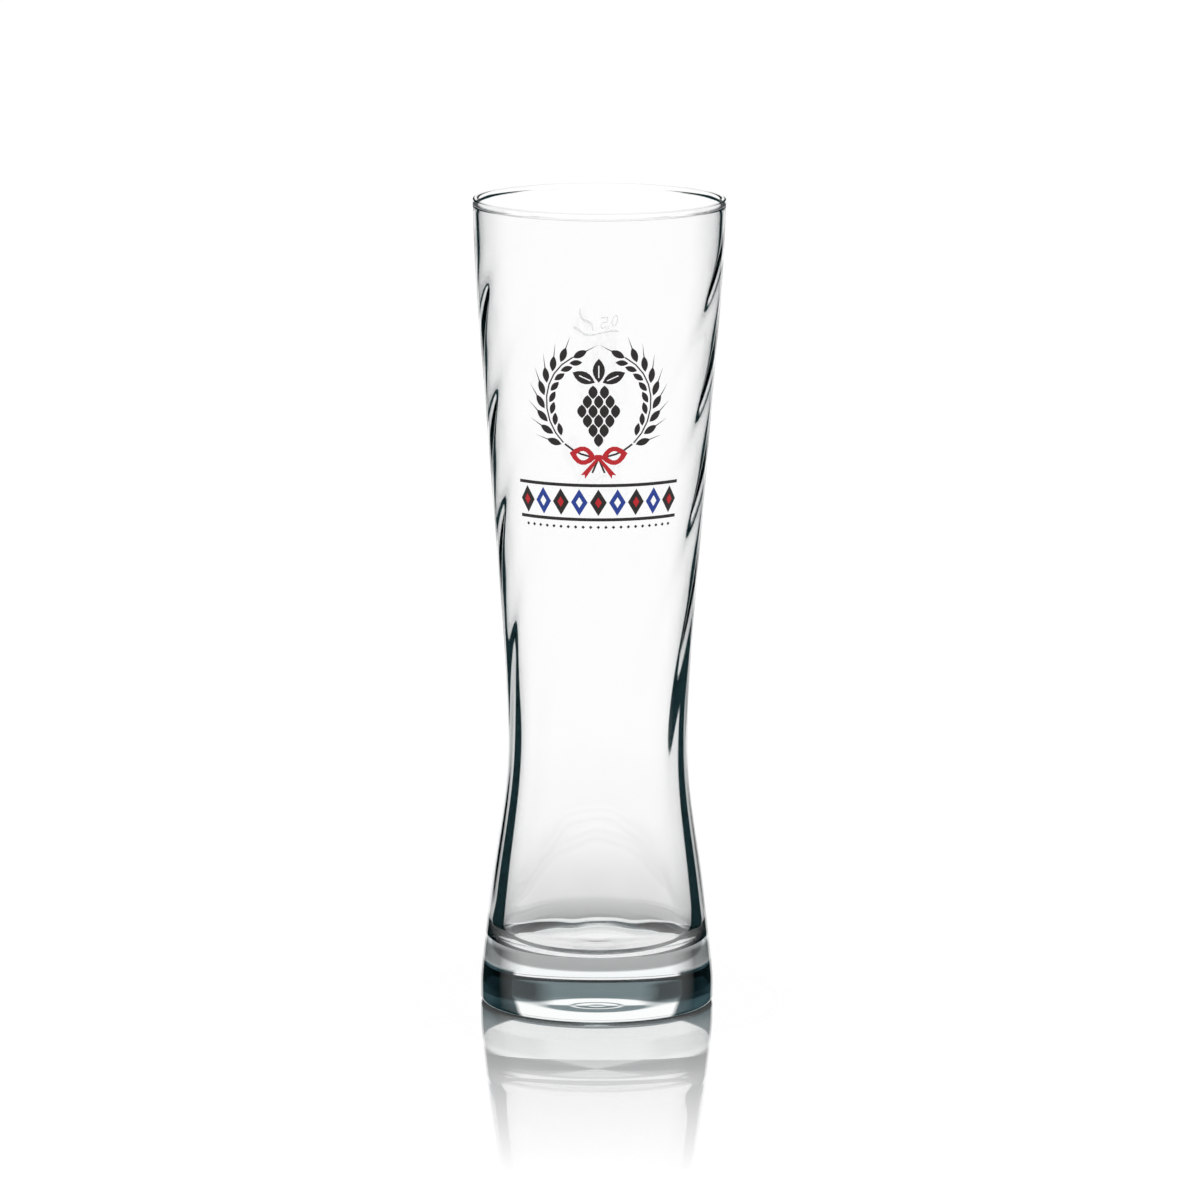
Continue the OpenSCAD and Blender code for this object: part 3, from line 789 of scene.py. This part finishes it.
def studio_world(stage):
    """White all round, with a dark room above the backdrop for what the glass mirrors and bends."""
    n = Nodes(bpy.data.worlds.new("white_studio"))
    way = n.add("ShaderNodeTexCoord").outputs["Generated"]
    up = n.add("ShaderNodeSeparateXYZ", Vector=way).outputs["Z"]
    room = n.ramp(up, (sin(stage.backdrop_to), 1.0), (sin(stage.room_from), tuple(stage.room)))

    # The light has to be mirrored too, and matt faces never see the room
    path = n.add("ShaderNodeLightPath").outputs
    crossed = n.math("COMPARE", path["Transmission Depth"], CROSSINGS, CROSSINGS_OFF)
    turned = n.math("MINIMUM", crossed, path["Glossy Depth"])
    turned = n.math("SUBTRACT", turned, path["Diffuse Depth"], clamp=True)
    light = n.add("ShaderNodeBackground", Color=n.blend(turned, WHITE, room)).outputs[0]
    return n.output(light, kind="ShaderNodeOutputWorld")


# Points of the glass that are closer together than this become one
MERGE = 0.005 * MM


class BuildGlass(bpy.types.Operator):
    """Build the clear glass with its turning flutes"""

    bl_idname = "weizen.build_glass"
    bl_label = "Build glass"

    def execute(self, context):
        scene = context.scene
        sizes, fine = scene.weizen_glass, scene.weizen_fineness
        shape = Shape(sizes, scene.weizen_flutes)
        outline, first_bore = shape.outline(fine)
        bm = bmesh.new()
        bore = bm.verts.layers.float.new("bore")
        ratio = bm.verts.layers.float.new("ratio")
        chain = []
        for i, (r, z) in enumerate(outline):
            vert = bm.verts.new((r, 0, z))
            vert[bore] = float(i >= first_bore)
            vert[ratio] = shape.bore(z) / shape.outer(z)
            chain.append(vert)
        for a, b in zip(chain, chain[1:]):
            bm.edges.new((a, b))
        bmesh.ops.spin(
            bm,
            geom=bm.verts[:] + bm.edges[:],
            axis=(0, 0, 1),
            cent=(0, 0, 0),
            steps=fine.columns,
            angle=tau,
            use_merge=True,
        )
        bmesh.ops.remove_doubles(bm, verts=bm.verts, dist=MERGE)
        for vert in bm.verts:
            x, y, z = vert.co
            r, a = hypot(x, y), atan2(y, x)
            in_bore = vert[bore] > 0.5
            if in_bore and shape.bore_from < z < shape.bore_to:
                r = shape.fluted(r, a, z)
                vert.co = (r * cos(a), r * sin(a), z)
            elif not in_bore and z > sizes.foot_shoulder_height:
                r += sizes.proud
                vert.co = (r * cos(a), r * sin(a), z)
        made = link_mesh("glass_shell", bm)
        made.data.shade_smooth()
        made.data.materials.append(glass_material(scene.weizen_finish))
        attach(made, "root")
        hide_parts("glass_body")
        return {"FINISHED"}


PRINT = {
    "dark": (
        "wheat_ear_left",
        "wheat_ear_right",
        "wheat_stems",
        "hop_cone",
        "hop_leaves",
        "dark_lozenges",
        "ruled_lines",
        "dot_row",
    ),
    "red": ("bow", "red_hearts"),
    "blue": ("blue_lozenges",),
    "white": ("white_hearts",),
    "thin": ("fill_line", "fill_figures"),
}


class FinishPrint(bpy.types.Operator):
    """Give each piece of the print its enamel"""

    bl_idname = "weizen.finish_print"
    bl_label = "Finish print"

    def execute(self, context):
        finish = context.scene.weizen_enamel
        for enamel, nodes in PRINT.items():
            cover = finish.thin_cover if enamel == "thin" else 1.0
            material = enamel_material(enamel + "_enamel", getattr(finish, enamel), cover, finish)
            for node in nodes:
                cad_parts[node].material_slots[0].material = material
        return {"FINISHED"}


class SetStage(bpy.types.Operator):
    """Set the white floor, the light and the camera"""

    bl_idname = "weizen.set_stage"
    bl_label = "Set stage"

    def execute(self, context):
        scene = context.scene
        s = scene.weizen_stage
        bm = bmesh.new()
        bmesh.ops.create_grid(bm, x_segments=1, y_segments=1, size=s.floor_side / 2)
        bmesh.ops.translate(bm, verts=bm.verts, vec=(0, 0, -s.floor_gap))
        floor = link_mesh("floor", bm)
        floor.data.materials.append(floor_material(s))

        scene.world = studio_world(s)

        data = bpy.data.cameras.new("camera")
        data.lens = s.lens
        data.clip_end = s.view_to
        data.shift_x = s.shift
        camera = bpy.data.objects.new("camera", data)
        camera.location = (0, -s.distance, s.eye)
        camera.rotation_euler = Euler((pi / 2 - s.pitch, 0, 0))
        camera.rotation_euler.rotate_axis("Z", s.roll)
        scene.collection.objects.link(camera)
        scene.camera = camera
        scene.view_settings.view_transform = "Standard"
        return {"FINISHED"}


class GlassPanel(bpy.types.Panel):
    """Lists the steps that build the glass"""

    bl_idname = "VIEW3D_PT_weizen"
    bl_label = "Wheat beer glass"
    bl_space_type = "VIEW_3D"
    bl_region_type = "UI"
    bl_category = "Glass"

    def draw(self, context):
        for operator in OPERATORS:
            self.layout.operator(operator.bl_idname)


OPERATORS = (BuildGlass, FinishPrint, SetStage)
GROUPS = {
    "weizen_glass": GlassSizes,
    "weizen_flutes": FluteSizes,
    "weizen_fineness": GlassFineness,
    "weizen_finish": GlassLightAndTone,
    "weizen_enamel": EnamelFinish,
    "weizen_stage": StageSizes,
}
CLASSES = (*GROUPS.values(), *OPERATORS, GlassPanel)


def register():
    for cls in CLASSES:
        bpy.utils.register_class(cls)
    for name, group in GROUPS.items():
        setattr(bpy.types.Scene, name, PointerProperty(type=group))


def unregister():
    for name in GROUPS:
        delattr(bpy.types.Scene, name)
    for cls in reversed(CLASSES):
        bpy.utils.unregister_class(cls)


def main():
    register()
    for operator in OPERATORS:
        getattr(bpy.ops.weizen, operator.bl_idname.split(".")[1])()


if __name__ == "__main__":
    main()
